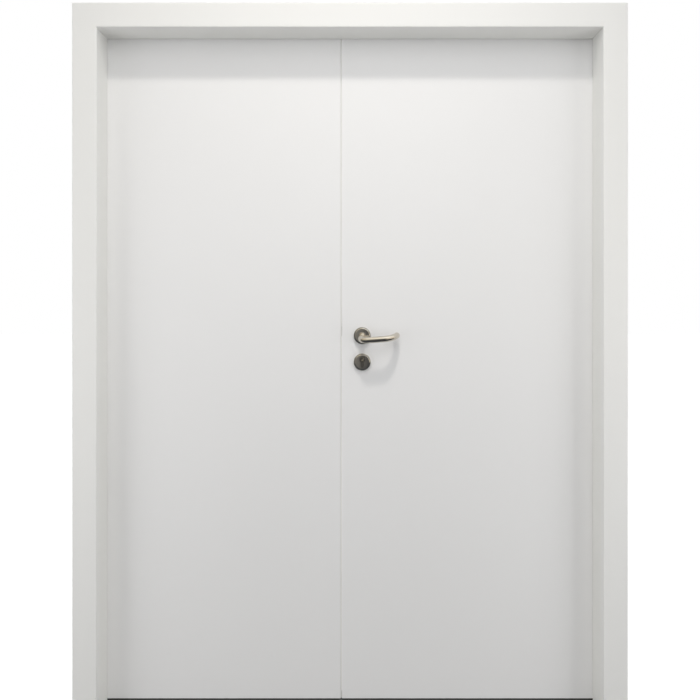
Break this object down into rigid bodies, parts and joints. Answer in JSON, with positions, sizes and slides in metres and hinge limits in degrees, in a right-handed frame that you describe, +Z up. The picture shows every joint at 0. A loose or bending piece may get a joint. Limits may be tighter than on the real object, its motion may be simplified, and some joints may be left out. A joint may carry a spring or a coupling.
{
  "type": "interior double door with frame",
  "caption": "White flush interior double door in a deep cased frame, with unequal leaves, a bent round lever handle and a profile cylinder lock",
  "frame": {"origin": "on the floor, midway between the jambs, at mid thickness of the closed leaves", "axes": "+X to the right seen from the recess side, +Y through the door towards the hinge side, +Z up"},
  "size_m": [1.576, 0.169, 2.031],
  "materials": {
    "white_lacquer": "satin white lacquer",
    "timber": "planed softwood",
    "core_board": "pressed chip core",
    "seal_rubber": "matt",
    "satin_steel": "brushed",
    "zinc_steel": "zinc plated",
    "lock_brass": "matt nickel plated",
    "base_plastic": "moulded"
  },
  "bodies": {
    "frame": {"lining_left": "white_lacquer", "lining_right": "white_lacquer", "lining_head": "white_lacquer", "front_casing_left": "white_lacquer", "front_casing_right": "white_lacquer", "front_casing_head": "white_lacquer", "back_casing_left": "white_lacquer", "back_casing_right": "white_lacquer", "back_casing_head": "white_lacquer", "frame_seal": "seal_rubber", "frame_hinge_left_upper": "satin_steel", "frame_hinge_left_lower": "satin_steel", "frame_hinge_right_upper": "satin_steel", "frame_hinge_right_lower": "satin_steel", "hinge_pins": "satin_steel", "head_keep_plate": "satin_steel", "frame_screws": "zinc_steel"},
    "left_leaf": {"left_front_skin": "white_lacquer", "left_back_skin": "white_lacquer", "left_core": "core_board", "left_meeting_stile": "timber", "left_hinge_stile": "timber", "left_rails": "timber", "left_leaf_screws": "zinc_steel", "strike_plate": "satin_steel", "meeting_seal": "seal_rubber", "top_bolt_plate": "satin_steel", "bottom_bolt_plate": "satin_steel", "leaf_hinge_left_upper": "satin_steel", "leaf_hinge_left_lower": "satin_steel"},
    "right_leaf": {"right_front_skin": "white_lacquer", "right_back_skin": "white_lacquer", "right_core": "core_board", "right_meeting_stile": "timber", "right_hinge_stile": "timber", "right_rails": "timber", "lock_block": "timber", "right_leaf_screws": "zinc_steel", "lock_case": "zinc_steel", "lock_faceplate": "satin_steel", "rose_front": "satin_steel", "rose_back": "satin_steel", "escutcheon_front": "satin_steel", "escutcheon_back": "satin_steel", "rose_bases": "base_plastic", "cylinder_body": "lock_brass", "cylinder_screw": "zinc_steel", "leaf_hinge_right_upper": "satin_steel", "leaf_hinge_right_lower": "satin_steel"},
    "handle": {"lever_front": "satin_steel", "lever_back": "satin_steel", "spindle": "zinc_steel", "lock_follower": "zinc_steel"},
    "latch": {"latch_bolt": "zinc_steel"},
    "deadbolt": {"dead_bolt": "zinc_steel"},
    "front_plug": {"cylinder_plug_front": "lock_brass", "cylinder_cam": "lock_brass"},
    "back_plug": {"cylinder_plug_back": "lock_brass"},
    "top_bolt": {"top_bolt_rod": "satin_steel"},
    "bottom_bolt": {"bottom_bolt_rod": "satin_steel"}
  },
  "joints": [
    {"name": "left_leaf_swing", "type": "hinge", "parent": "frame", "child": "left_leaf", "pos_m": [-0.73125, 0.031, 0], "axis": [0, 0, 1], "range_deg": [0, 170]},
    {"name": "right_leaf_swing", "type": "hinge", "parent": "frame", "child": "right_leaf", "pos_m": [0.73125, 0.031, 0], "axis": [0, 0, -1], "range_deg": [0, 170]},
    {"name": "handle_turn", "type": "hinge", "parent": "right_leaf", "child": "handle", "pos_m": [0.036, 0, 1.083], "axis": [0, 1, 0], "range_deg": [0, 38], "stiffness_Nm_per_rad": 1.2, "springref_deg": -45.84},
    {"name": "latch_slide", "type": "slide", "parent": "right_leaf", "child": "latch", "axis": [1, 0, 0], "range_m": [0, 0.012]},
    {"name": "key_turn_front", "type": "hinge", "parent": "right_leaf", "child": "front_plug", "pos_m": [0.036, 0, 1.013], "axis": [0, 1, 0], "range_deg": [0, 360]},
    {"name": "dead_bolt_slide", "type": "slide", "parent": "right_leaf", "child": "deadbolt", "axis": [-1, 0, 0], "range_m": [0, 0.02]},
    {"name": "key_turn_back", "type": "hinge", "parent": "right_leaf", "child": "back_plug", "pos_m": [0.036, 0, 1.013], "axis": [0, 1, 0], "range_deg": [0, 360]},
    {"name": "top_bolt_slide", "type": "slide", "parent": "left_leaf", "child": "top_bolt", "axis": [0, 0, 1], "range_m": [0, 0.018]},
    {"name": "bottom_bolt_slide", "type": "slide", "parent": "left_leaf", "child": "bottom_bolt", "axis": [0, 0, -1], "range_m": [0, 0.018]}
  ],
  "couplings": [
    {"joint": "latch_slide", "follows": "handle_turn", "m_per_rad": 0.018093},
    {"joint": "key_turn_front", "follows": "dead_bolt_slide", "rad_per_m": 314.16}
  ]
}
